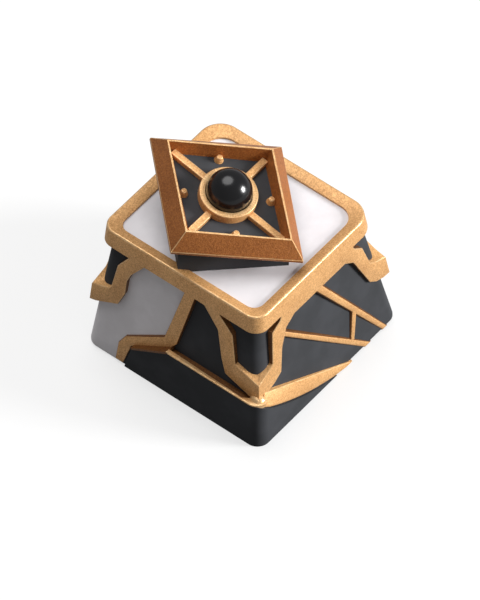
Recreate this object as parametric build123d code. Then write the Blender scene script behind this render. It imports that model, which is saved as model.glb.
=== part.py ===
"""Artisan keycap: one resin casting with raised trim and a crown, and a polished bead set in the crown.

The frame is in millimetres, with +Z up, -Y towards the typist and the origin under the stem
on the base plane.
"""

import os
from math import radians, sin

from build123d import *

# Footprint and overall form
key_size = 18.0
key_corner = 1.2
cap_height = 13.2
top_width = 14.5
top_depth = 15.8
top_set_back = 0.5
panel_sink_base = 0.1
panel_sink_top = 0.6
panel_corner = 0.8

# Collar around the top plate
collar_height = 1.6
collar_width = 1.0
collar_corner = 1.4
collar_edge = 0.3
plate_corner = 1.4
collar_lip = 0.12
collar_drop = 0.3
plate_sink = 0.2

# Skirt that wraps the left front corner
skirt_top = 5.2
skirt_depth = 2.4
skirt_lap = 0.35

# Hollow and stem
wall = 1.1
hollow_depth = 7.2
stem_diameter = 5.5
stem_sink = 0.4
socket_length = 4.1
socket_width_x = 1.35
socket_width_y = 1.2
socket_depth = 4.2

# Trim
trim_depth = 1.1
front_strip_level = 10.6
near_tip_low = 4.6
near_tip_high = 6.3

# Crown and bead
crown_tilt = 13.0
crown_clear = 0.8
crown_half_x = 6.9
crown_half_y = 7.9
crown_shift_x = -0.9
crown_shift_y = 0.4
crown_lip = 0.3
crown_rise = 1.4
crown_lean = 1.45
crown_edge = 0.2
crown_floor = 0.5
crown_inner_lean = 0.55
plinth_step_x = 0.9
plinth_step_y = 1.6
bead_diameter = 3.7
bead_lift = 1.5
bead_glue = 0.03
bezel_diameter = 4.7
bezel_top = 1.35
spoke_width = 0.6
spoke_top = 0.95
stud_diameter = 0.9
stud_top = 1.0
stud_out = 0.47

# Derived levels and tapers
plate_level = cap_height - collar_drop - plate_sink
collar_level = cap_height - collar_height
crown_base = cap_height - plate_level + crown_half_y * sin(radians(crown_tilt)) + crown_clear
side_taper = (key_size - top_width) / 2 / cap_height
front_taper = ((key_size - top_depth) / 2 + top_set_back) / cap_height
back_taper = ((key_size - top_depth) / 2 - top_set_back) / cap_height


def side(z):
    """Half width of the trim's outer form at a height."""
    return key_size / 2 - side_taper * z


def front(z):
    """Y of the trim's outer form on the typist's side."""
    return -key_size / 2 + front_taper * z


def back(z):
    """Y of the trim's outer form on the far side."""
    return key_size / 2 - back_taper * z


def section(z, sink, corner):
    """Rounded outline at a height, set in from the trim's outer form."""
    wide = 2 * (side(z) - sink)
    deep = back(z) - front(z) - 2 * sink
    return Pos(0, (back(z) + front(z)) / 2, z) * RectangleRounded(wide, deep, corner)


def tapered(z_low, sink_low, corner_low, z_high, sink_high, corner_high):
    """Tapered block between two outlines."""
    return loft([section(z_low, sink_low, corner_low), section(z_high, sink_high, corner_high)], ruled=True)


def ring_corners(z, sink):
    """Four sharp corners at a height, left front first and clockwise from above."""
    x = side(z) - sink
    low, high = front(z) + sink, back(z) - sink
    return [(-x, low, z), (-x, high, z), (x, high, z), (x, low, z)]


def slab(index):
    """Wall of trim stock on one side, mitred at its ends: 0 left, 1 back, 2 right, 3 front."""
    ends = []
    for z in (0, cap_height):
        outer, inner = ring_corners(z, 0), ring_corners(z, trim_depth)
        far = (index + 1) % 4
        loop = [outer[index], outer[far], inner[far], inner[index]]
        ends.append(make_face(Polyline(*loop, close=True)))
    return loft(ends, ruled=True)


def prism(plane, outline):
    """Outline in a plane's own coordinates, run right through the cap."""
    return extrude(plane * make_face(outline), key_size, both=True)


def polygon(*points):
    return Polyline(*points, close=True)


# Bracket legs: distance from the corner along the face, and height, down the outer edge and up the inner one
bracket_top = collar_level + 0.5
near_tip = [(0.0, near_tip_low), (0.0, near_tip_high)]
rear_tip = [(0.0, 4.9), (0.0, 6.7)]
right_tip = [(0.0, 5.4), (0.0, 7.4)]
near_left_leg = [(5.85, bracket_top), (5.4, 11.5), (4.1, 9.9), (3.8, 7.3), (3.45, 5.9), (1.05, 4.95)]
near_left_leg += near_tip + [(2.4, 7.3), (2.65, 10.2), (3.85, 11.4), (4.3, bracket_top)]
near_front_leg = [(5.6, bracket_top), (4.6, front_strip_level), (3.55, 10.0), (3.0, 8.35), (2.85, 6.0)]
near_front_leg += [(2.0, 5.4)] + near_tip + [(1.8, 7.5), (1.8, 10.7), (2.8, 11.2), (3.1, bracket_top)]
rear_leg = [(5.3, bracket_top), (4.6, 11.5), (3.5, 9.9), (3.2, 9.0), (3.2, 7.6), (2.7, 6.1), (0.6, 5.05)]
rear_leg += rear_tip + [(1.6, 7.2), (1.85, 7.6), (2.15, 10.1), (3.1, 11.6), (3.4, bracket_top)]
right_leg = [(5.4, bracket_top), (4.3, front_strip_level), (3.4, 9.9), (2.25, 6.3), (1.6, 5.75)]
right_leg += [(0.75, 5.45)] + right_tip
right_leg += [(1.0, 7.75), (1.7, 8.2), (2.1, 10.5), (2.9, 11.2), (3.2, bracket_top)]

# The leg at each side's start and end: left, back, right, front
legs = [(near_left_leg, rear_leg), (rear_leg, rear_leg), (right_leg, rear_leg), (near_front_leg, right_leg)]

face_plane = [Plane.YZ, Plane.XZ, Plane.YZ, Plane.XZ]


def bracket_on(index, at_start):
    """Bracket leg laid out from one end of one side."""
    loop = []
    for away, z in legs[index][0 if at_start else 1]:
        if index in (0, 2):
            loop.append((front(z) + away if at_start else back(z) - away, z))
        else:
            loop.append((-side(z) + away if at_start else side(z) - away, z))
    return prism(face_plane[index], polygon(*loop))


# Strips on the left side: Y and height
left_strut = polygon((-1.35, bracket_top), (-0.3, bracket_top), (1.3, 5.6), (0.6, 4.9), (0.0, 5.7))
left_band = polygon((1.2, 5.75), (4.95, 3.3), (5.6, 2.2), (5.75, 0.3), (4.95, 0.3), (4.3, 2.6), (0.6, 5.0))
left_skirt = polygon((-key_size / 2, 0), (-key_size / 2, skirt_top), (0.5, skirt_top), (4.1, 2.9), (4.9, 0))

# Strips on the typist's side: X and height
strip_low = front_strip_level
front_strip = polygon((-3.2, bracket_top), (-3.0, strip_low), (3.3, strip_low), (3.5, bracket_top))
front_strut_long = polygon((-1.38, bracket_top), (-0.37, bracket_top), (7.3, 0.3), (6.55, 0.3))
front_strut_low = polygon((-5.6, 11.0), (5.1, 0.3), (4.2, 0.3), (-5.6, 10.2))
front_strut_cross = polygon((3.5, 5.2), (4.15, 4.9), (3.45, 1.9), (2.85, 1.9))
edge = -key_size / 2
skirt_mid = ((edge - 0.6) / 2, 0.44 * skirt_top)
skirt_curve = ThreePointArc((-0.6, 0), skirt_mid, (edge, skirt_top))
front_band = Polyline((-0.6, 0), (2.8, 0), (edge, near_tip_high), (edge, skirt_top)) + skirt_curve
front_skirt = Polyline((edge, skirt_top), (edge, 0), (-0.6, 0)) + skirt_curve

# Core with its plain panels
cap = tapered(0, panel_sink_base, panel_corner, plate_level, panel_sink_top, panel_corner)

# Skirt, upright, with a ledge where the panels lean away from it
upright = extrude(RectangleRounded(key_size, key_size, key_corner), skirt_top)
half = key_size / 2
deep = half - skirt_depth
left_stock = polygon(
    (-half, -half),
    (-half, half),
    (-deep, half),
    (-deep, -deep),
    (-deep + skirt_lap, -deep),
    (-half + skirt_lap, -half),
)
front_stock = polygon((-half, -half), (half, -half), (half, -deep), (-deep, -deep))
cap += upright & extrude(make_face(left_stock), skirt_top) & prism(Plane.YZ, left_skirt)
cap += upright & extrude(make_face(front_stock), skirt_top) & prism(Plane.XZ, front_skirt)

# Trim on the four sides
slabs = [slab(index) for index in range(4)]
for index in range(4):
    cap += slabs[index] & bracket_on(index, True)
    cap += slabs[index] & bracket_on(index, False)
for strip in (left_strut, left_band):
    cap += slabs[0] & prism(Plane.YZ, strip)
for strip in (front_strip, front_strut_long, front_strut_low, front_strut_cross, front_band):
    cap += slabs[3] & prism(Plane.XZ, strip)

# Collar with its top leaning in to the plate
edge_level = cap_height - collar_edge
edge_corner = collar_corner - collar_edge
collar = tapered(collar_level, 0, collar_corner, edge_level, 0, collar_corner)
collar += tapered(edge_level, 0, collar_corner, cap_height, collar_edge, edge_corner)
lip = collar_edge + collar_lip
lean = loft(
    [
        section(cap_height - collar_drop, collar_width, plate_corner),
        section(cap_height, lip, collar_corner - lip),
    ],
    ruled=True,
)
recess = extrude(section(plate_level, collar_width, plate_corner), collar_height)
cap += collar
cap -= lean
cap -= recess


def lozenge(half_x, half_y, z):
    """Lozenge outline with its points on the axes."""
    return Pos(0, 0, z) * make_face(polygon((half_x, 0), (0, half_y), (-half_x, 0), (0, -half_y)))


def lozenge_block(inset_low, z_low, inset_high, z_high):
    """Block between two lozenges set in from the crown's widest outline."""
    low = lozenge(crown_half_x - inset_low, crown_half_y - inset_low, z_low)
    high = lozenge(crown_half_x - inset_high, crown_half_y - inset_high, z_high)
    return loft([low, high], ruled=True)


# Crown in its own upright frame
ridge_level = crown_lip + crown_rise
crown_x = crown_shift_x
crown_y = top_set_back + crown_shift_y
crown_place = Pos(crown_x, crown_y, plate_level + crown_base) * Rot(crown_tilt, 0, 0)
crown = lozenge_block(0, 0, 0, crown_lip) + lozenge_block(0, crown_lip, crown_lean, ridge_level)
ridge_inner = crown_lean + crown_edge
crown -= lozenge_block(ridge_inner + crown_inner_lean, crown_floor, ridge_inner, ridge_level)
floor_x = crown_half_x - ridge_inner - crown_inner_lean
floor_y = crown_half_y - ridge_inner - crown_inner_lean
spoke_height = spoke_top - crown_lip
spoke_mid = crown_lip + spoke_height / 2
crown += Pos(0, 0, spoke_mid) * Box(2 * floor_x, spoke_width, spoke_height)
crown += Pos(0, 0, spoke_mid) * Box(spoke_width, 2 * floor_y, spoke_height)
for sign_x in (-1, 1):
    for sign_y in (-1, 1):
        spot = Pos(sign_x * stud_out * floor_x, sign_y * stud_out * floor_y, crown_lip)
        crown += spot * Cone(
            stud_diameter / 2,
            stud_diameter / 4,
            stud_top - crown_lip,
            align=(Align.CENTER, Align.CENTER, Align.MIN),
        )
bezel = Cylinder(bezel_diameter / 2, bezel_top - crown_lip, align=(Align.CENTER, Align.CENTER, Align.MIN))
crown += Pos(0, 0, crown_lip) * bezel
cap += crown_place * crown

# Plinth under the crown, cut to the crown's slope
plinth = extrude(lozenge(crown_half_x - plinth_step_x, crown_half_y - plinth_step_y, 0), 2 * crown_base)
plinth = Pos(crown_x, crown_y, plate_level - 0.1) * plinth
cut_plane = Plane(crown_place)
cap += split(plinth, bisect_by=cut_plane, keep=Keep.BOTTOM)

# Seat that the bead is glued into
bead_place = crown_place * Pos(0, 0, bead_lift)
cap -= bead_place * Sphere(bead_diameter / 2 + bead_glue)

# Hollow, stem and cross socket
sink = panel_sink_base + wall
sink_roof = panel_sink_base + (panel_sink_top - panel_sink_base) * hollow_depth / plate_level + wall
cap -= tapered(0, sink, panel_corner, hollow_depth, sink_roof, panel_corner)
stem_height = hollow_depth - stem_sink + 0.5
stem = Cylinder(stem_diameter / 2, stem_height, align=(Align.CENTER, Align.CENTER, Align.MIN))
cap += Pos(0, 0, stem_sink) * stem
socket_mid = stem_sink + socket_depth / 2
cap -= Pos(0, 0, socket_mid) * Box(socket_length, socket_width_x, socket_depth)
cap -= Pos(0, 0, socket_mid) * Box(socket_width_y, socket_length, socket_depth)

bead = bead_place * Sphere(bead_diameter / 2)

os.makedirs("parts", exist_ok=True)
for name, solid in (("keycap_casting", cap), ("bead", bead)):
    solid.label = name
    export_step(solid, f"parts/{name}.step")
    print(name, len(solid.solids()), round(solid.volume, 1), solid.bounding_box())
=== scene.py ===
"""Artisan keycap: dark and white resin with raised gold trim, a tilted crown and a polished bead."""

import math

import bpy
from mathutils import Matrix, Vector


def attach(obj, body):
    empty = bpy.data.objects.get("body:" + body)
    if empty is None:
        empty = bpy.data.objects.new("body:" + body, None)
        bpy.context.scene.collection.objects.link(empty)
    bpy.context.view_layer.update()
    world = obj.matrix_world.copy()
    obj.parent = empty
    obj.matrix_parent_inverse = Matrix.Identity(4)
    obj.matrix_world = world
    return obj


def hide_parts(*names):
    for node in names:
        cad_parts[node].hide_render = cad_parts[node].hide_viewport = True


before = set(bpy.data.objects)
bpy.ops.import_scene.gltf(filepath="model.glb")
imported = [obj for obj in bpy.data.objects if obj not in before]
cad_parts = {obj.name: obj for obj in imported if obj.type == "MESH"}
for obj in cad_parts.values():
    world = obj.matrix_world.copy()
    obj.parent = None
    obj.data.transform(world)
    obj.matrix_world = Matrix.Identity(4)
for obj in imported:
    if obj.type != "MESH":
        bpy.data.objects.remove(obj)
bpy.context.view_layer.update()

# Sizes in millimetres
MM = 0.001

# The cap's outer form, which the trim's face follows
KEY_HALF = 9.0
SIDE_SLOPE = 0.13258
FRONT_SLOPE = 0.12121
BACK_SLOPE = 0.04545
COLLAR_LEVEL = 11.6
TRIM_TOP = 12.1
CAP_HEIGHT = 13.2
TRIM_DEPTH = 0.85

# The body, set back from the outer form
BODY_BASE = 17.8
BODY_SET_BACK = 1.2
BODY_CORNER = 1.1
BASE_EDGE = 0.35
BASE_INSET = 0.5
PLATE_LEVEL = 12.7
HOLLOW_HALF = 7.8
HOLLOW_DEPTH = 7.2

# The skirt round the front left corner: its wall, the gold along its top, the middle of the corner's
# rounding in X and in Y, and the place on the front where its curved top meets the base
SKIRT_TOP = 5.2
SKIRT_WALL = 8.82
SKIRT_GOLD = 8.99
SKIRT_CORNER = 1.2
SKIRT_TURN = SKIRT_CORNER - KEY_HALF
SKIRT_END = 1.08

# The crown in its own frame: half lengths at its foot, round its rim and mouth and on its floor
CROWN_FOOT = (6.9, 7.9)
CROWN_RIM = (5.45, 6.45)
CROWN_MOUTH = (5.25, 6.25)
CROWN_FLOOR = (4.7, 5.7)
CROWN_EDGE = 0.3
CROWN_RISE = 1.7
CROWN_FLOOR_LEVEL = 0.5
CROWN_TILT = math.radians(13)
CROWN_TIP_LEVEL = 14.0
CROWN_PLACE = Vector((-0.9, 0.9, CROWN_TIP_LEVEL + CROWN_FOOT[1] * math.sin(CROWN_TILT)))
BEAD_RADIUS = 1.845

# Slots of the paints on a gilded piece, after plain gold: pale rubbed gold, partly wear and partly
# painted highlight; a darker paint for painted shade; and dark resin
WEAR_AND_HIGHLIGHT_SLOT = 1
PAINTED_SHADE_SLOT = 2
DARK_SLOT = 3


def side_at(z):
    """Half width of the cap's outer form at a height."""
    return KEY_HALF - SIDE_SLOPE * z


def left_at(z):
    """X of the left face's outer form at a height."""
    return -side_at(z)


def front_at(z):
    """Y of the front face's outer form at a height."""
    return -KEY_HALF + FRONT_SLOPE * z


def back_at(z):
    """Y of the back face's outer form at a height."""
    return KEY_HALF - BACK_SLOPE * z


def middle_at(z):
    """Y midway between the front and back faces at a height."""
    return (front_at(z) + back_at(z)) / 2


def size_at(z):
    """Width and depth of the cap's outer form at a height."""
    return 2 * side_at(z), back_at(z) - front_at(z)


# ---------------------------------------------------------------- modelling steps


def work_on(*pieces):
    """Go to object mode with only these pieces selected, the first of them active."""
    if bpy.context.object and bpy.context.object.mode != "OBJECT":
        bpy.ops.object.mode_set(mode="OBJECT")
    bpy.ops.object.select_all(action="DESELECT")
    for piece in pieces:
        piece.select_set(True)
    bpy.context.view_layer.objects.active = pieces[0]


def start(add, name, **size):
    """Add a primitive with nothing else selected, and name it."""
    bpy.ops.object.select_all(action="DESELECT")
    add(**size)
    piece = bpy.context.object
    piece.name = name
    return piece


def edit(piece, faces=None, edges=None, points=None):
    """Enter edit mode with the faces, edges or points that pass a test selected."""
    work_on(piece)
    mesh = piece.data
    for group in (mesh.vertices, mesh.edges, mesh.polygons):
        group.foreach_set("select", [False] * len(group))
    bpy.context.tool_settings.mesh_select_mode = (bool(points), bool(edges), bool(faces))
    if faces:
        for face in mesh.polygons:
            face.select = faces(face.center, face.normal)
    if edges:
        for edge in mesh.edges:
            ends = [mesh.vertices[i].co for i in edge.vertices]
            edge.select = edges((ends[0] + ends[1]) / 2, (ends[1] - ends[0]).normalized())
    if points:
        for point in mesh.vertices:
            point.select = points(point.co)
    bpy.ops.object.mode_set(mode="EDIT")


def everything(*place):
    """The test that any face or point passes."""
    return True


def facing_up(co, n):
    """The test for faces that look up."""
    return n.z > 0.9


def done():
    """Back to object mode."""
    bpy.ops.object.mode_set(mode="OBJECT")


def move(step):
    bpy.ops.transform.translate(value=step)


def extrude(step):
    bpy.ops.mesh.extrude_region_move(TRANSFORM_OT_translate={"value": step})


def scale(factors, centre):
    bpy.ops.transform.resize(value=factors, center_override=centre)


def resize(before, after, centre):
    """Bring what is selected from one width and depth to another."""
    scale((after[0] / before[0], after[1] / before[1], 1), centre)


def tidy(piece):
    """Close up doubled points and turn all faces outwards."""
    work_on(piece)
    bpy.ops.object.mode_set(mode="EDIT")
    bpy.ops.mesh.select_all(action="SELECT")
    bpy.ops.mesh.remove_doubles(threshold=0.001)
    bpy.ops.mesh.normals_make_consistent(inside=False)
    done()


def finish_with(piece, kind, **settings):
    """Add a modifier and apply it."""
    work_on(piece)
    tool = piece.modifiers.new(kind.title(), kind)
    for key, value in settings.items():
        setattr(tool, key, value)
    bpy.ops.object.modifier_apply(modifier=tool.name)


def round_edges(piece, test, size, steps, slot=-1):
    """Round the edges that pass a test, painted like their neighbours or from one slot."""
    edit(piece, edges=test)
    bpy.ops.mesh.bevel(offset=size, segments=steps, affect="EDGES", material=slot)
    done()


def join(name, pieces):
    """One piece from several."""
    work_on(*pieces)
    bpy.ops.object.join()
    pieces[0].name = name
    return pieces[0]


def block(name, size, centre):
    """A block to start from, by its size and centre."""
    piece = start(bpy.ops.mesh.primitive_cube_add, name, size=1, location=centre)
    piece.scale = size
    bpy.ops.object.transform_apply(location=True, scale=True)
    return piece


def drawn_line(name, path):
    """A line drawn point by point. It is left in edit mode, all selected."""
    piece = start(bpy.ops.mesh.primitive_plane_add, name, size=0.1, location=path[0])
    bpy.ops.object.transform_apply(location=True)
    edit(piece, points=everything)
    bpy.ops.mesh.merge(type="CENTER")
    for here, there in zip(path, path[1:]):
        bpy.ops.mesh.extrude_vertices_move(TRANSFORM_OT_translate={"value": there - here})
    bpy.ops.mesh.select_all(action="SELECT")
    return piece


def drawn_plate(name, outline, inward):
    """A flat outline, drawn, filled, and thickened inwards."""
    piece = drawn_line(name, outline)
    bpy.ops.mesh.edge_face_add()
    extrude(inward)
    done()
    return piece


# ---------------------------------------------------------------- finishes


class Wire:
    """A value in a finish's nodes: sums and products of wires add Math nodes."""

    def __init__(self, finish, socket):
        self.finish = finish
        self.socket = socket

    def sum(self, operation, first, second):
        return self.finish.node("ShaderNodeMath", {"operation": operation}, {0: first, 1: second})

    def __add__(self, other):
        return self.sum("ADD", self, other)

    def __radd__(self, other):
        return self.sum("ADD", other, self)

    def __sub__(self, other):
        return self.sum("SUBTRACT", self, other)

    def __rsub__(self, other):
        return self.sum("SUBTRACT", other, self)

    def __mul__(self, other):
        return self.sum("MULTIPLY", self, other)

    def __rmul__(self, other):
        return self.sum("MULTIPLY", other, self)


class Finish:
    """A material whose nodes are added one at a time."""

    def __init__(self, name, **constants):
        self.material = bpy.data.materials.new(name)
        self.material.use_nodes = True
        self.tree = self.material.node_tree
        self.shader = self.tree.nodes["Principled BSDF"]
        self.wire(**constants)

    def feed(self, socket, value):
        """Set a socket to a value, or link a wire to it."""
        if isinstance(value, Wire):
            self.tree.links.new(value.socket, socket)
        else:
            socket.default_value = value

    def wire(self, **sockets):
        """Feed the shader's sockets by their names."""
        for key, value in sockets.items():
            name = key.replace("_", " ").title().replace("Ior", "IOR")
            self.feed(self.shader.inputs[name], value)
        return self.material

    def node(self, kind, settings, inputs, output=0):
        """Add any node: its settings first, then the values or links of its sockets."""
        made = self.tree.nodes.new(kind)
        for key, value in settings.items():
            setattr(made, key, value)
        for key, value in inputs.items():
            self.feed(made.inputs[key], value)
        return Wire(self, made.outputs[output])

    def place(self):
        """Places on the piece in millimetres."""
        spot = self.node("ShaderNodeTexCoord", {}, {}, "Object")
        return self.node("ShaderNodeMapping", {}, {"Vector": spot, "Scale": (1000, 1000, 1000)})

    def noise(self, place, size, detail=2.0, rough=0.5):
        inputs = {"Vector": place, "Scale": size, "Detail": detail, "Roughness": rough}
        return self.node("ShaderNodeTexNoise", {}, inputs)

    def ramp(self, value, low, high):
        """0 up to low, 1 from high on."""
        inputs = {"Value": value, "From Min": low, "From Max": high}
        return self.node("ShaderNodeMapRange", {"interpolation_type": "SMOOTHSTEP"}, inputs)

    def mix(self, share, first, second):
        return self.node("ShaderNodeMix", {"data_type": "RGBA"}, {0: share, 6: first, 7: second}, 2)

    def bump(self, height, strength, distance):
        inputs = {"Height": height, "Strength": strength, "Distance": distance}
        return self.node("ShaderNodeBump", {}, inputs)


def grainy_paint(name, dull, warm, wear_and_highlight=0.0):
    """Metallic paint with a fine grain, made paler by a share for rubbed wear and painted highlight."""
    paint = Finish(name, specular_ior_level=0.4)
    place = paint.place()
    grain = paint.noise(place, 9.0, 2.0, 0.6)
    cells = paint.node("ShaderNodeTexVoronoi", {}, {"Vector": place, "Scale": 11.0}, "Color")
    flake = paint.node("ShaderNodeSeparateColor", {}, {"Color": cells}, 0)
    cloud = paint.noise(place, 0.4)
    patch = paint.ramp(paint.noise(place, 1.3), 0.35, 0.65)
    speck = 0.5 + 0.6 * (cloud - 0.5) + 1.7 * (grain - 0.5) + 0.6 * (flake - 0.5)
    tone = paint.mix(speck, dull, warm)
    return paint.wire(
        # The pale tone is partly rubbed wear and partly a painted highlight
        base_color=paint.mix(wear_and_highlight * (0.4 + 0.6 * patch), tone, WEAR_AND_HIGHLIGHT_TONE),
        metallic=0.16 + 0.2 * flake + 0.45 * wear_and_highlight,
        roughness=0.30 + 0.2 * grain - 0.15 * wear_and_highlight,
        normal=paint.bump(grain + 0.6 * flake, 0.7, 0.000025),
    )


def dark_resin():
    """Satin resin, near black, with a faint cloud in it."""
    resin = Finish("dark satin resin", specular_ior_level=0.02)
    place = resin.place()
    grain = resin.noise(place, 8.0, 3.0, 0.6)
    cloud = resin.ramp(resin.noise(place, 0.4, 3.0), 0.35, 0.7)
    return resin.wire(
        base_color=resin.mix(cloud, (0.051, 0.053, 0.057, 1), (0.062, 0.064, 0.070, 1)),
        roughness=0.42 + 0.16 * grain,
        normal=resin.bump(grain, 0.3, 0.00002),
    )


def white_resin():
    """Satin resin, white, with a faint cloud in it."""
    resin = Finish("white satin resin", roughness=0.5, specular_ior_level=0.3)
    place = resin.place()
    cloud = resin.ramp(resin.noise(place, 0.35, 4.0, 0.6), 0.35, 0.7)
    return resin.wire(
        base_color=resin.mix(cloud, (0.80, 0.77, 0.79, 1), (0.88, 0.85, 0.875, 1)),
        normal=resin.bump(resin.noise(place, 6.0), 0.15, 0.00002),
    )


# Each paint's dull and warm tone, and the pale tone of rubbed gold, which is partly wear and partly
# painted highlight
GOLD_TONES = ((0.531, 0.254, 0.083, 1), (0.897, 0.519, 0.218, 1))
COPPER_AND_SHADE_TONES = ((0.25, 0.076, 0.016, 1), (0.50, 0.18, 0.045, 1))
SHADE_BROWN_TONES = ((0.11, 0.038, 0.008, 1), (0.25, 0.10, 0.025, 1))
WEAR_AND_HIGHLIGHT_TONE = (0.95, 0.70, 0.40, 1)

GOLD = grainy_paint("grainy gold paint", *GOLD_TONES)
# Rubbed gold: partly wear, partly a painted highlight on edges, rims and level tops
WEAR_AND_HIGHLIGHT_GOLD = grainy_paint("rubbed gold paint with painted highlight", *GOLD_TONES, wear_and_highlight=0.45)
# Copper: partly the crown's own tone, partly painted shade on its walls
COPPER_AND_SHADE = grainy_paint("grainy copper paint with painted shade", *COPPER_AND_SHADE_TONES)
# Brown: painted shade on walls between trim and panel and in recesses
SHADE_BROWN = grainy_paint("brown painted shade in the recesses", *SHADE_BROWN_TONES)
DARK = dark_resin()
WHITE = white_resin()
BLACK = Finish("polished black", base_color=(0.006, 0.006, 0.007, 1), roughness=0.2).material


def gild(piece, deep):
    """Give a gilded piece its paints: gold, the pale rubbed gold of its edges, partly wear and partly
    painted highlight, and a darker one that paints shade.
    """
    for finish in (GOLD, WEAR_AND_HIGHLIGHT_GOLD, deep):
        piece.data.materials.append(finish)


# ---------------------------------------------------------------- body

# Outline of the white panel on the left face: place along the face, and height.
# Its first three sides and those from PANEL_REAR on are paint lines; the others lie off the face.
WHITE_PANEL = [(-0.6, 12.7), (0.45, 5.4), (4.5, 3.05), (5.45, -0.1), (10, -0.1), (10, 5.9),
               (8.4, 5.9), (6.0, 6.9), (5.8, 12.7)]
PANEL_REAR = 5


def inside(outline, u, z):
    """Whether a place lies in an outline."""
    hit = False
    for (u0, z0), (u1, z1) in zip(outline, outline[1:] + outline[:1]):
        if (z0 > z) != (z1 > z) and u < u0 + (z - z0) / (z1 - z0) * (u1 - u0):
            hit = not hit
    return hit


def make_body():
    """The tapered cap with rounded corners and a hollow, its left panel and top plate painted white."""
    body = block("cap_body", (BODY_BASE, BODY_BASE, PLATE_LEVEL), (0, 0, PLATE_LEVEL / 2))
    edit(body, faces=facing_up)
    top = [length - BODY_SET_BACK for length in size_at(PLATE_LEVEL)]
    resize((BODY_BASE, BODY_BASE), top, (0, 0, PLATE_LEVEL))
    move((0, middle_at(PLATE_LEVEL), 0))
    round_edges(body, lambda co, d: abs(d.z) > 0.8, BODY_CORNER, 10)
    round_edges(body, lambda co, d: co.z < 0.01, BASE_EDGE, 4)
    edit(body, faces=lambda co, n: n.z < -0.9 and co.z < 0.01)
    bpy.ops.mesh.inset(thickness=BASE_INSET)
    narrower = HOLLOW_HALF / (BODY_BASE / 2 - BASE_EDGE - BASE_INSET)
    scale((narrower, narrower, 1), (0, 0, 0))
    extrude((0, 0, HOLLOW_DEPTH))
    scale((0.89, 0.94, 1), (0, 0.2, HOLLOW_DEPTH))
    done()

    sides = list(zip(WHITE_PANEL, WHITE_PANEL[1:]))
    for (u0, z0), (u1, z1) in sides[:3] + sides[PANEL_REAR:]:
        edit(body, faces=lambda co, n: n.x < -0.3 and co.x < -6)
        across = Vector((0, z1 - z0, u0 - u1)).normalized()
        bpy.ops.mesh.bisect(plane_co=(0, u0, z0), plane_no=across)
        done()

    body.data.materials.append(DARK)
    body.data.materials.append(WHITE)
    for face in body.data.polygons:
        spot = face.center
        on_top = face.normal.z > 0.9 and spot.z > PLATE_LEVEL - 0.1
        on_left = face.normal.x < -0.25 and spot.x < -6
        white = on_top or on_left and inside(WHITE_PANEL, spot.y, spot.z)
        face.material_index = 1 if white else 0
    return body


def make_stem():
    """The round stem with its cross-shaped socket."""
    stem = start(bpy.ops.mesh.primitive_cylinder_add, "stem", vertices=48, radius=2.75, depth=7.0,
                 location=(0, 0, 3.9))
    bpy.ops.object.transform_apply(location=True)
    for wide, deep in ((4.1, 1.35), (1.2, 4.1)):
        slot = block("slot", (wide, deep, 4.6), (0, 0, 2.3))
        finish_with(stem, "BOOLEAN", operation="DIFFERENCE", solver="EXACT", object=slot)
        bpy.data.objects.remove(slot)
    stem.data.materials.append(DARK)
    return stem


def skirt_height(x):
    """Height of the skirt's curved top edge on the front."""
    run = (SKIRT_END - x) / (SKIRT_END + KEY_HALF)
    return 2.5 * run * (1 - run) + SKIRT_TOP * run**2


def skirt_corner(radius, degrees):
    """A place on the rounding of the skirt's corner, from 180 degrees, left, to 270, front."""
    angle = math.radians(degrees)
    return SKIRT_TURN + radius * math.cos(angle), SKIRT_TURN + radius * math.sin(angle)


def make_skirt():
    """The dark upright wall round the front left corner, a hair inside the gold along its top."""
    below_gold = 0.12
    least = 0.05
    tall = 6
    top = [Vector((-SKIRT_WALL, y, z)) for y, z in ((4.8, 0.1), (4.1, 2.75), (0.5, 5.05))]
    for i in range(11):
        x, y = skirt_corner(SKIRT_WALL + SKIRT_TURN, 180 + 9 * i)
        top.append(Vector((x, y, skirt_height(x - 0.16) - below_gold)))
    for i in range(1, 17):
        x = SKIRT_TURN + (SKIRT_END - 0.2 - SKIRT_TURN) * i / 16
        top.append(Vector((x, -SKIRT_WALL, max(skirt_height(x) - below_gold, least))))
    skirt = drawn_line("skirt", [Vector((spot.x, spot.y, 0)) for spot in top])
    bpy.ops.mesh.extrude_edges_move(TRANSFORM_OT_translate={"value": (0, 0, tall)})
    for spot in top:
        edit(skirt, points=lambda co: co.z > tall - 0.1 and (co.xy - spot.xy).length < 0.01)
        move((0, 0, spot.z - tall))
    done()
    finish_with(skirt, "SOLIDIFY", thickness=0.2, offset=0.0, use_even_offset=True)
    tidy(skirt)
    skirt.data.materials.append(DARK)
    return skirt


# ---------------------------------------------------------------- gold trim

# For each face: a point on the outer form from its place along the face and its height,
# the way inwards, and the ends' places at a height
FACES = {
    "left": (lambda u, z: Vector((left_at(z), u, z)), Vector((1, 0, 0)), front_at, back_at),
    "right": (lambda u, z: Vector((side_at(z), u, z)), Vector((-1, 0, 0)), front_at, back_at),
    "front": (lambda u, z: Vector((u, front_at(z), z)), Vector((0, 1, 0)), left_at, side_at),
    "back": (lambda u, z: Vector((u, back_at(z), z)), Vector((0, -1, 0)), left_at, side_at),
}

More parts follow.
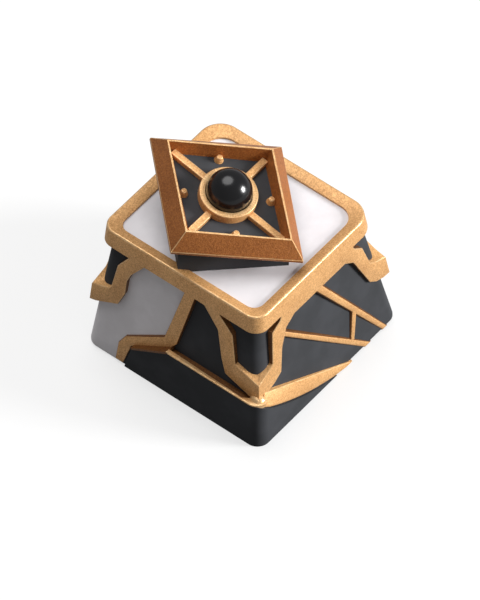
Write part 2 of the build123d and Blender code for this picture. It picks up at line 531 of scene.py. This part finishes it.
# Bracket legs: distance from the corner along the face, and height,
# down the outer edge and up the inner one
NEAR_LEFT_LEG = [(5.85, TRIM_TOP), (5.4, 11.5), (4.1, 9.9), (3.8, 7.3), (3.45, 5.9), (1.05, 5.1),
                 (0, 4.95), (0, 6.7), (2.4, 7.4), (2.65, 10.2), (3.85, 11.4), (4.3, TRIM_TOP)]
NEAR_FRONT_LEG = [(5.6, TRIM_TOP), (4.6, 10.6), (3.55, 10.0), (3.0, 8.35), (2.85, 6.0), (2.0, 5.5),
                  (0, 4.95), (0, 6.7), (1.8, 7.5), (1.8, 10.7), (2.8, 11.2), (3.1, TRIM_TOP)]
REAR_LEG = [(5.3, TRIM_TOP), (4.6, 11.5), (3.5, 9.9), (3.2, 9.0), (3.2, 7.6), (2.7, 6.1), (0.6, 5.05),
            (0, 4.9), (0, 6.7), (1.6, 7.2), (1.85, 7.6), (2.15, 10.1), (3.1, 11.6), (3.4, TRIM_TOP)]
RIGHT_LEG = [(5.4, TRIM_TOP), (4.3, 10.6), (3.4, 9.9), (2.25, 6.3), (1.6, 5.75), (0.75, 5.45), (0, 5.4),
             (0, 7.4), (1.0, 7.75), (1.7, 8.2), (2.1, 10.5), (2.9, 11.2), (3.2, TRIM_TOP)]

# Each leg's face and outline, and whether it stands at the face's far end
LEGS = [
    ("left", NEAR_LEFT_LEG, False), ("left", REAR_LEG, True),
    ("front", NEAR_FRONT_LEG, False), ("front", RIGHT_LEG, True),
    ("right", RIGHT_LEG, False), ("right", REAR_LEG, True),
    ("back", REAR_LEG, False), ("back", REAR_LEG, True),
]

# Struts and bands: the face, the outline by place along the face and height,
# the rounding of the outer edges, and how far the strip is sunk
STRIPS = [
    ("left", [(-1.35, TRIM_TOP), (-0.3, TRIM_TOP), (1.3, 5.6), (0.6, 4.9), (0, 5.7)], 0.1, 0.02),
    ("left", [(1.2, 5.75), (4.95, 3.3), (5.6, 2.2), (5.75, 0.3), (4.95, 0.3), (4.3, 2.6), (0.6, 5.0)],
     0.1, 0.03),
    ("front", [(-3.2, TRIM_TOP), (-3.0, 10.6), (3.3, 10.6), (3.5, TRIM_TOP)], 0.05, 0.016),
    ("front", [(-1.38, TRIM_TOP), (-0.37, TRIM_TOP), (7.48, 0.02), (6.73, 0.02)], 0.3, 0.02),
    ("front", [(-5.0, 10.4), (5.38, 0.02), (4.48, 0.02), (-5.0, 9.6)], 0.25, 0.03),
    ("front", [(3.5, 5.2), (4.15, 4.9), (3.45, 1.9), (2.85, 1.9)], 0.22, 0.04),
]

# Rounding of the collar's corners: the two on the left, the front right one and the rear right one
COLLAR_CORNERS = (
    (1.2, lambda co: co.x < 0),
    (1.8, lambda co: co.x > 0 > co.y),
    (1.9, lambda co: co.x > 0 and co.y > 0),
)


def shade_walls(piece, inward, test, turn):
    """Paint the walls that pass a test and run from a trim piece's face down to the panel brown, as
    painted shade.
    """
    tidy(piece)
    for wall in piece.data.polygons:
        if abs(wall.normal.dot(inward)) < turn and test(wall.center, wall.normal):
            wall.material_index = PAINTED_SHADE_SLOT


def on_outside(face, sunk, co):
    """Whether a place lies on the outside of a face's trim."""
    on_face, inward = FACES[face][:2]
    return abs((co - on_face(0, co.z)).dot(inward) - sunk) < 0.005


def trim_strip(face, outline, rounding, sunk):
    """A strip of trim on one face, its outer edges rounded and its walls brown as painted shade."""
    on_face, inward = FACES[face][:2]
    line = [on_face(u, z) + inward * sunk for u, z in outline]
    strip = drawn_plate(face + " strip", line, inward * TRIM_DEPTH)
    gild(strip, SHADE_BROWN)
    round_edges(strip, lambda co, d: on_outside(face, sunk, co), rounding, 5)
    shade_walls(strip, inward, everything, 0.75)
    return strip


def bracket_leg(face, leg, far_end):
    """One leg of a corner bracket, mitred at the corner, its walls brown as painted shade and its edges
    rubbed, partly wear and partly painted highlight.
    """
    sunk = 0.012
    on_face, inward, near, far = FACES[face]
    axis = Vector((abs(inward.y), abs(inward.x), 0))
    ends = far if far_end else near
    sign = -1 if far_end else 1
    outline = [on_face(ends(z) + sign * max(out, sunk), z) + inward * sunk for out, z in leg]
    piece = drawn_plate(face + " leg", outline, inward * TRIM_DEPTH)
    gild(piece, SHADE_BROWN)

    def at_mitre(co):
        corner = on_face(ends(co.z) + sign * sunk, co.z) + inward * (TRIM_DEPTH + sunk)
        return (co - corner).length < 0.005

    def outer(co, d):
        at_corner = abs(axis.dot(co) - ends(co.z)) < 0.05
        return on_outside(face, sunk, co) and co.z < TRIM_TOP - 0.05 and not at_corner

    # The mitre's upper point is lifted as well, which keeps the wall above it from twisting
    for lift, there in ((0, lambda z: z < 6), (0.3, lambda z: z > 6)):
        edit(piece, points=lambda co: at_mitre(co) and there(co.z))
        move(axis * sign * TRIM_DEPTH + Vector((0, 0, lift)))
        done()
    # Walls that face down, or stand high under the collar, get the brown painted shade
    shade_walls(piece, inward, lambda co, n: n.z < 0.4 or co.z > 9, 0.5)
    # The outer edges are rubbed pale, partly wear and partly a painted highlight
    round_edges(piece, outer, 0.07, 3, WEAR_AND_HIGHLIGHT_SLOT)
    return piece


def make_collar():
    """The collar round the top plate: rounded outer edge, top leaning in to the plate."""
    lip = 0.3
    lining = 1.0
    high = CAP_HEIGHT - COLLAR_LEVEL
    low_y, top_y = middle_at(COLLAR_LEVEL), middle_at(CAP_HEIGHT)
    collar = block("collar", (*size_at(COLLAR_LEVEL), high), (0, low_y, COLLAR_LEVEL + high / 2))
    gild(collar, SHADE_BROWN)
    edit(collar, faces=facing_up)
    resize(size_at(COLLAR_LEVEL), size_at(CAP_HEIGHT), (0, low_y, CAP_HEIGHT))
    move((0, top_y - low_y, 0))
    for corner, there in COLLAR_CORNERS:
        round_edges(collar, lambda co, d: abs(d.z) > 0.8 and there(co), corner, 24)
    # The top outer edge is rubbed pale, partly wear and partly a painted highlight
    round_edges(collar, lambda co, d: co.z > CAP_HEIGHT - 0.01, 0.13, 3, WEAR_AND_HIGHLIGHT_SLOT)

    # Sink the top inside, then open the middle and close the ring underneath
    edit(collar, faces=lambda co, n: n.z > 0.99 and co.z > CAP_HEIGHT - 0.01)
    bpy.ops.mesh.inset(thickness=0.03)
    extrude((0, 0, -lip))
    scale((0.885, 0.895, 1), (0, top_y, 0))
    extrude((0, 0, -lining))
    bpy.ops.mesh.delete(type="FACE")
    edit(collar, faces=lambda co, n: n.z < -0.9)
    bpy.ops.mesh.delete(type="FACE")
    rings = (COLLAR_LEVEL, CAP_HEIGHT - lip - lining)
    edit(collar, edges=lambda co, d: abs(d.z) < 0.1 and min(abs(co.z - ring) for ring in rings) < 0.05)
    bpy.ops.mesh.bridge_edge_loops()
    done()
    return collar


def make_ledge():
    """Gold on the skirt's top: a narrowing rim, a groove, the slope behind, and the corner knob. Rim
    and knob are rubbed pale, partly a painted highlight; groove and slope are painted shade.
    """
    low = SKIRT_TOP - 0.4
    corner = [skirt_corner(SKIRT_GOLD + SKIRT_TURN, 180 + 75 * i / 8) for i in range(9)]
    rim = [(-SKIRT_GOLD, 0.5)] + corner + [(-7.6, -8.0), (-8.2, -8.0), (-8.8, -7.0), (-8.58, 0.5)]
    groove = [(-8.9, 0.5)] + [(0.98 * x, 0.98 * y) for x, y in corner] + [(-7.4, -7.4), (-7.8, 0.5)]
    slope = [(-SKIRT_GOLD, 0.4, SKIRT_TOP), (-SKIRT_GOLD, 4.1, 2.9),
             (-8.0, 4.1, 2.9), (-8.0, 0.4, SKIRT_TOP)]
    layers = []
    # The rim is rubbed pale gold, partly a painted highlight; the groove and slope are painted shade
    for name, outline, down, slot in (
        ("ledge rim", [(x, y, SKIRT_TOP) for x, y in rim], (0, 0, -0.15), WEAR_AND_HIGHLIGHT_SLOT),
        ("ledge groove", [(x, y, low) for x, y in groove], (0, 0, -0.3), PAINTED_SHADE_SLOT),
        ("ledge slope", slope, (0, -0.1, -0.16), PAINTED_SHADE_SLOT),
    ):
        layer = drawn_plate(name, [Vector(spot) for spot in outline], Vector(down))
        gild(layer, SHADE_BROWN)
        for face in layer.data.polygons:
            face.material_index = slot
        layers.append(layer)
    round_edges(layers[0], lambda co, d: co.z > SKIRT_TOP - 0.01, 0.05, 2)
    knob = start(bpy.ops.mesh.primitive_uv_sphere_add, "ledge corner", segments=32, ring_count=16,
                 radius=0.7, location=(-8.08, -8.08, 4.8))
    bpy.ops.object.transform_apply(location=True)
    gild(knob, SHADE_BROWN)
    # The knob is rubbed pale gold all over, partly a painted highlight
    for face in knob.data.polygons:
        face.material_index = WEAR_AND_HIGHLIGHT_SLOT
        face.use_smooth = True
    layers.append(knob)
    return layers


def along(line):
    """A test for the edges of a drawn line."""
    middles = [(here + there) / 2 for here, there in zip(line, line[1:])]
    return lambda co, d: min((co - middle).length for middle in middles) < 0.01


def make_front_band():
    """The band from the near corner down across the front, its lower edge proud of the skirt."""
    steps = 12
    least = 0.05
    lift = Vector((0, 0, 20))
    lower = []
    upper = []
    for i in range(steps + 1):
        x = SKIRT_END - (SKIRT_END + 8.35) * i / steps
        past = min(x - SKIRT_TURN, 0)
        y = -SKIRT_GOLD + SKIRT_CORNER - math.sqrt(SKIRT_CORNER**2 - past**2)
        lower.append(Vector((x, y, max(skirt_height(x), least))))
        high = least + 5.5 * i / steps
        upper.append(Vector((2.8 - 10.38 * i / steps, front_at(high), high)))
    band = drawn_line("front band", lower)
    bpy.ops.mesh.extrude_edges_move(TRANSFORM_OT_translate={"value": lift})
    for low, high in zip(lower, upper):
        edit(band, points=lambda co: (co - low - lift).length < 0.01)
        move(high - low - lift)
    bpy.ops.mesh.select_all(action="SELECT")
    extrude((0, TRIM_DEPTH, 0))
    done()
    gild(band, SHADE_BROWN)
    round_edges(band, along(lower), 0.3, 5)
    # The upper edge is rubbed pale, partly wear and partly a painted highlight
    round_edges(band, along(upper), 0.06, 2, WEAR_AND_HIGHLIGHT_SLOT)
    return band


def make_trim():
    """The collar, the corner brackets, the struts and the bands, cast as one."""
    pieces = [make_collar()] + make_ledge()
    pieces += [bracket_leg(*leg) for leg in LEGS]
    pieces += [trim_strip(*strip) for strip in STRIPS]
    pieces.append(make_front_band())
    for piece in pieces:
        tidy(piece)
    return join("gold_trim", pieces)


# ---------------------------------------------------------------- crown and bead


def lozenge(name, half_x, half_y, high):
    """An upright lozenge prism that stands on the origin."""
    piece = start(bpy.ops.mesh.primitive_cylinder_add, name, vertices=4, radius=1, depth=high,
                  location=(0, 0, high / 2))
    piece.scale = (half_x, half_y, 1)
    bpy.ops.object.transform_apply(location=True, scale=True)
    return piece


def set_crown(piece):
    """Tilt a piece of the crown and lift it into place."""
    work_on(piece)
    piece.rotation_euler = (CROWN_TILT, 0, 0)
    piece.location = CROWN_PLACE
    bpy.ops.object.transform_apply(location=True, rotation=True)


def make_plinth():
    """The dark foot between the top plate and the crown, cut off along the crown's underside."""
    lap = 0.1
    plinth = lozenge("plinth", 6.0, 6.3, 8)
    work_on(plinth)
    plinth.location = (CROWN_PLACE.x, CROWN_PLACE.y, PLATE_LEVEL - lap)
    bpy.ops.object.transform_apply(location=True)
    edit(plinth, faces=everything)
    up = Vector((0, -math.sin(CROWN_TILT), math.cos(CROWN_TILT)))
    bpy.ops.mesh.bisect(plane_co=CROWN_PLACE + lap * up, plane_no=up, clear_outer=True, use_fill=True)
    done()
    plinth.data.materials.append(DARK)
    return plinth


def make_bezel():
    """The ring that the bead is set in."""
    bezel = start(bpy.ops.mesh.primitive_cylinder_add, "bezel", vertices=64, radius=2.35, depth=1.05,
                  location=(0, 0, 0.825))
    bpy.ops.object.transform_apply(location=True)
    gild(bezel, COPPER_AND_SHADE)
    edit(bezel, faces=facing_up)
    bpy.ops.mesh.inset(thickness=0.5)
    extrude((0, 0, -0.5))
    done()
    # The top edges are rubbed pale, partly wear and partly a painted highlight
    round_edges(bezel, lambda co, d: co.z > 1.34, 0.08, 3, WEAR_AND_HIGHLIGHT_SLOT)
    return bezel


def make_crown():
    """A tilted lozenge frame with a bezel, spokes and studs, gold over a dark floor."""
    crown = lozenge("crown", *CROWN_FOOT, CROWN_EDGE)
    edit(crown, faces=facing_up)
    level = CROWN_EDGE
    shape = CROWN_FOOT
    for new_level, new_shape in (
        (CROWN_RISE, CROWN_RIM),
        (CROWN_RISE, CROWN_MOUTH),
        (CROWN_FLOOR_LEVEL, CROWN_FLOOR),
    ):
        extrude((0, 0, new_level - level))
        resize(shape, new_shape, (0, 0, new_level))
        level, shape = new_level, new_shape
    done()
    gild(crown, COPPER_AND_SHADE)
    crown.data.materials.append(DARK)
    # Level faces are rubbed pale, partly a painted highlight; walls get copper that is partly painted
    # shade; the floor is dark resin
    for face in crown.data.polygons:
        level_face = face.normal.z > 0.9
        on_floor = level_face and face.center.z < CROWN_FLOOR_LEVEL + 0.1
        face.material_index = DARK_SLOT if on_floor else WEAR_AND_HIGHLIGHT_SLOT if level_face else PAINTED_SHADE_SLOT

    def at_foot_or_mitre(co, d):
        return co.z < CROWN_EDGE + 0.01 or abs(co.z - 1) < 0.1 and co.xy.length > 5.5

    # The foot and mitre edges are rubbed pale, partly wear and partly a painted highlight
    round_edges(crown, at_foot_or_mitre, 0.045, 3, WEAR_AND_HIGHLIGHT_SLOT)
    pieces = [crown, make_bezel()]
    # Spokes and studs have their top edges rubbed pale, partly wear and partly a painted highlight
    for wide, deep in ((9.4, 0.6), (0.6, 11.4)):
        spoke = block("spoke", (wide, deep, 0.7), (0, 0, 0.6))
        gild(spoke, COPPER_AND_SHADE)
        round_edges(spoke, lambda co, d: co.z > 0.94, 0.1, 3, WEAR_AND_HIGHLIGHT_SLOT)
        pieces.append(spoke)
    for x in (-2.21, 2.21):
        for y in (-2.68, 2.68):
            stud = start(bpy.ops.mesh.primitive_cone_add, "stud", vertices=32, radius1=0.45,
                         radius2=0.225, depth=0.7, location=(x, y, 0.65))
            bpy.ops.object.transform_apply(location=True)
            gild(stud, COPPER_AND_SHADE)
            round_edges(stud, lambda co, d: co.z > 0.99, 0.06, 2, WEAR_AND_HIGHLIGHT_SLOT)
            pieces.append(stud)
    for piece in pieces:
        tidy(piece)
    crown = join("crown", pieces)
    set_crown(crown)
    return crown


def make_bead():
    """The polished bead, flat where it sits in the bezel."""
    bead = start(bpy.ops.mesh.primitive_uv_sphere_add, "polished_bead", segments=64, ring_count=32,
                 radius=BEAD_RADIUS)
    edit(bead, faces=everything)
    bpy.ops.mesh.bisect(plane_co=(0, 0, -1.6), plane_no=(0, 0, -1), clear_outer=True, use_fill=True)
    edit(bead, faces=everything)
    move((0, 0, 1.5))
    done()
    set_crown(bead)
    bead.data.materials.append(BLACK)
    return bead


def set_in_frame(piece, node, angle):
    """Bring a piece from millimetres to metres, shade it, and hang it on the frame."""
    work_on(piece)
    piece.scale = (MM, MM, MM)
    bpy.ops.object.transform_apply(scale=True)
    bpy.ops.object.shade_smooth_by_angle(angle=math.radians(angle))
    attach(piece, "root")
    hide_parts(node)


cap_body = join("cap_body", [make_body(), make_stem(), make_skirt(), make_plinth()])
set_in_frame(cap_body, "keycap_casting", 35)
set_in_frame(make_trim(), "keycap_casting", 40)
set_in_frame(make_crown(), "keycap_casting", 40)
set_in_frame(make_bead(), "bead", 180)


# ---------------------------------------------------------------- studio, in metres

# How much each kind of ray sees of the floor's white
FLOOR_RAYS = (("Is Camera Ray", 1.0), ("Is Transmission Ray", 1.0), ("Is Glossy Ray", 0.25))
FLOOR_LEVEL = -0.00002
LAMPS_AIM = Vector((0, 0, 0.007))
WORLD_LEVEL = 0.27

# The photograph's camera: its angle, its scale, and where the middle of the base lies in the picture
AZIMUTH = math.radians(-51.25)
ELEVATION = math.radians(50.6)
PICTURE_SIZE = (480, 600)
BASE_IN_PICTURE = (242.1, 327.6)
PIXELS_PER_MM = 12.57
LENS = 500
SENSOR = 36


def pale_floor():
    """White to the camera with a soft shadow, dimmer in reflections, and dark to bounced light."""
    paint = Finish("pale floor", roughness=0.9, specular_ior_level=0.0)
    seen = 0.0
    for ray, share in FLOOR_RAYS:
        seen = seen + share * paint.node("ShaderNodeLightPath", {}, {}, ray)
    paint.wire(base_color=paint.mix(seen, (0.12, 0.12, 0.12, 1), (0.98, 0.98, 0.98, 1)))
    glow = paint.node("ShaderNodeEmission", {}, {"Color": (1, 1, 1, 1), "Strength": 1.0})
    lit = Wire(paint, paint.shader.outputs[0])
    both = paint.node("ShaderNodeMixShader", {}, {0: 0.65 * seen, 1: lit, 2: glow})
    paint.feed(paint.tree.nodes["Material Output"].inputs["Surface"], both)
    return paint.material


def softbox(name, towards, distance, size, level):
    """A round lamp that faces the cap; level 1 alone lights a white that faces it to full white."""
    place = Vector(towards).normalized() * distance + LAMPS_AIM
    bpy.ops.object.light_add(type="AREA", location=place)
    lamp = bpy.context.object
    lamp.name = name
    lamp.data.shape = "DISK"
    lamp.data.size = size
    lamp.data.energy = level * math.pi**2 * distance**2
    lamp.rotation_euler = (LAMPS_AIM - place).to_track_quat("-Z", "Y").to_euler()


def set_camera():
    """A long lens at the photograph's angle."""
    level = math.cos(ELEVATION)
    back = Vector((math.sin(AZIMUTH) * level, -math.cos(AZIMUTH) * level, math.sin(ELEVATION)))
    right = Vector((math.cos(AZIMUTH), math.sin(AZIMUTH), 0))
    up = back.cross(right)
    across = PICTURE_SIZE[0] / 2 - BASE_IN_PICTURE[0]
    above = BASE_IN_PICTURE[1] - PICTURE_SIZE[1] / 2
    aim = (right * across + up * above) * MM / PIXELS_PER_MM
    distance = LENS / SENSOR * PICTURE_SIZE[1] / PIXELS_PER_MM * MM
    bpy.ops.object.camera_add()
    camera = bpy.context.object
    camera.data.lens = LENS
    camera.data.sensor_width = SENSOR
    camera.data.clip_end = 20
    camera.location = aim + back * distance
    camera.rotation_euler = (-back).to_track_quat("-Z", "Y").to_euler()
    bpy.context.scene.camera = camera


floor = start(bpy.ops.mesh.primitive_plane_add, "floor", size=3.0, location=(0, 0, FLOOR_LEVEL))
floor.data.materials.append(pale_floor())

softbox("front_key", (0.52, -0.8, 0.3), distance=1.0, size=0.35, level=1.48)
softbox("top_light", (0.12, 0.25, 0.96), distance=1.2, size=1.0, level=0.63)

world = bpy.data.worlds.new("studio")
world.use_nodes = True
world.node_tree.nodes["Background"].inputs["Color"].default_value = (1, 1, 1, 1)
world.node_tree.nodes["Background"].inputs["Strength"].default_value = WORLD_LEVEL
bpy.context.scene.world = world

set_camera()
bpy.context.scene.view_settings.view_transform = "Standard"
